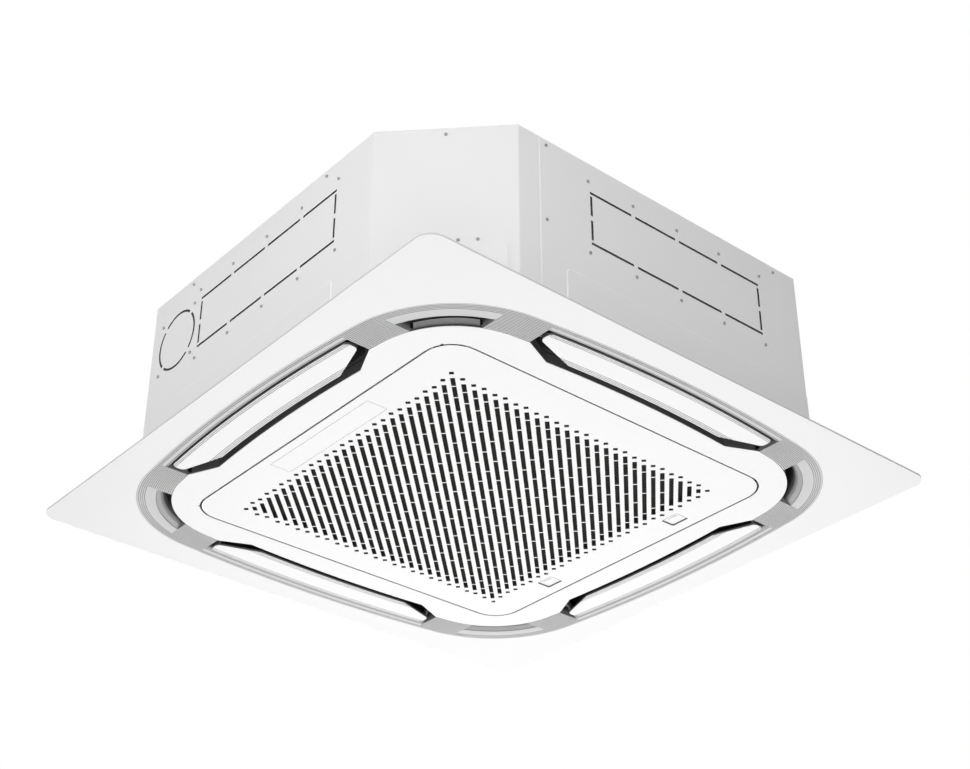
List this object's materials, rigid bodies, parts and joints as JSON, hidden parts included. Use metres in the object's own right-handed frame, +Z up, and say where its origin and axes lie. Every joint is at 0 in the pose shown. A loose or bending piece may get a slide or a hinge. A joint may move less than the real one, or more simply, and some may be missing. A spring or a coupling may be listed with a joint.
{
  "type": "ceiling cassette air conditioner",
  "caption": "Square ceiling cassette air conditioner with four swinging louvers, a hinged slotted intake grille and an eight-sided casing with suspension hangers.",
  "frame": {"origin": "middle of the panel's visible face, which is the lowest plane of the unit", "axes": "+Z up into the ceiling, +X towards the latch edge of the intake grille, -X towards its hinges"},
  "size_m": [0.95, 0.95, 0.308],
  "materials": {
    "casing_steel": "smooth pale grey-white painted steel",
    "bare_steel": "zinc plated",
    "motor_paint": "dark satin",
    "black_rubber": "matte",
    "dark_foam": "closed-cell foam",
    "fan_plastic": "moulded",
    "dark_plastic": "matte",
    "coil_aluminium": "thin fins",
    "copper": "drawn copper",
    "brass_fittings": "turned",
    "board_green": "solder mask",
    "pale_plastic": "moulded",
    "panel_white": "fine satin",
    "ring_grey": "ribbed satin",
    "louver_white": "fine satin"
  },
  "bodies": {
    "unit": {"casing": "casing_steel", "casing_top": "casing_steel", "casing_screws": "bare_steel", "pipe_plate": "bare_steel", "cable_grommet": "black_rubber", "wall_lining": "dark_foam", "hanger_1": "casing_steel", "hanger_2": "casing_steel", "hanger_3": "casing_steel", "hanger_4": "casing_steel", "fan_motor": "motor_paint", "motor_bracket": "bare_steel", "motor_bushes": "black_rubber", "motor_bolts": "bare_steel", "bell_mouth": "fan_plastic", "coil_fins": "coil_aluminium", "coil_end_plates": "bare_steel", "return_bends": "copper", "gas_pipe": "copper", "liquid_pipe": "copper", "flare_nuts": "brass_fittings", "drain_pan": "dark_foam", "fixing_strips": "bare_steel", "pump_bracket": "bare_steel", "pump_housing": "dark_plastic", "drain_hose": "black_rubber", "drain_socket": "pale_plastic", "control_box": "bare_steel", "control_cover": "bare_steel", "circuit_board": "board_green", "terminal_block": "dark_plastic", "air_sensor": "dark_plastic", "panel_frame": "panel_white", "ring_sides": "ring_grey", "ring_corners": "ring_grey", "inner_panel": "panel_white", "panel_seal": "dark_foam", "panel_screws": "bare_steel", "hinge_pins": "bare_steel", "louver_bushes": "dark_plastic", "louver_motor_right": "bare_steel", "louver_motor_back": "bare_steel", "louver_motor_left": "bare_steel", "louver_motor_front": "bare_steel"},
    "fan_wheel": {"motor_shaft": "bare_steel", "fan_nut": "bare_steel", "turbo_fan": "fan_plastic"},
    "pump_wheel": {"pump_impeller": "fan_plastic"},
    "level_float": {"float": "fan_plastic"},
    "right_louver": {"louver_right": "louver_white"},
    "back_louver": {"louver_back": "louver_white"},
    "left_louver": {"louver_left": "louver_white"},
    "front_louver": {"louver_front": "louver_white"},
    "intake_lid": {"grille": "panel_white", "grille_frame": "panel_white", "badge_plate": "panel_white", "filter_frame": "dark_plastic", "filter_mesh": "dark_plastic"},
    "back_latch": {"latch_back": "panel_white"},
    "front_latch": {"latch_front": "panel_white"}
  },
  "joints": [
    {"name": "fan_spin", "type": "hinge", "parent": "unit", "child": "fan_wheel", "pos_m": [0, 0, 0.2], "axis": [0, 0, 1], "continuous": true},
    {"name": "pump_spin", "type": "hinge", "parent": "unit", "child": "pump_wheel", "pos_m": [0.27011, 0.27011, 0.08], "axis": [0, 0, 1], "continuous": true},
    {"name": "float_lift", "type": "slide", "parent": "unit", "child": "level_float", "axis": [0, 0, 1], "range_m": [0, 0.012]},
    {"name": "right_louver_swing", "type": "hinge", "parent": "unit", "child": "right_louver", "pos_m": [0.378, 0, 0.016], "axis": [0, 1, 0], "range_deg": [0, 60]},
    {"name": "back_louver_swing", "type": "hinge", "parent": "unit", "child": "back_louver", "pos_m": [0, 0.378, 0.016], "axis": [-1, 0, 0], "range_deg": [0, 60]},
    {"name": "left_louver_swing", "type": "hinge", "parent": "unit", "child": "left_louver", "pos_m": [-0.378, 0, 0.016], "axis": [0, -1, 0], "range_deg": [0, 60]},
    {"name": "front_louver_swing", "type": "hinge", "parent": "unit", "child": "front_louver", "pos_m": [0, -0.378, 0.016], "axis": [1, 0, 0], "range_deg": [0, 60]},
    {"name": "lid_swing", "type": "hinge", "parent": "unit", "child": "intake_lid", "pos_m": [-0.303, 0, 0.0044], "axis": [0, 1, 0], "range_deg": [0, 70]},
    {"name": "back_latch_slide", "type": "slide", "parent": "intake_lid", "child": "back_latch", "axis": [-1, 0, 0], "range_m": [0, 0.005], "stiffness_N_per_m": 300},
    {"name": "front_latch_slide", "type": "slide", "parent": "intake_lid", "child": "front_latch", "axis": [-1, 0, 0], "range_m": [0, 0.005], "stiffness_N_per_m": 300}
  ]
}
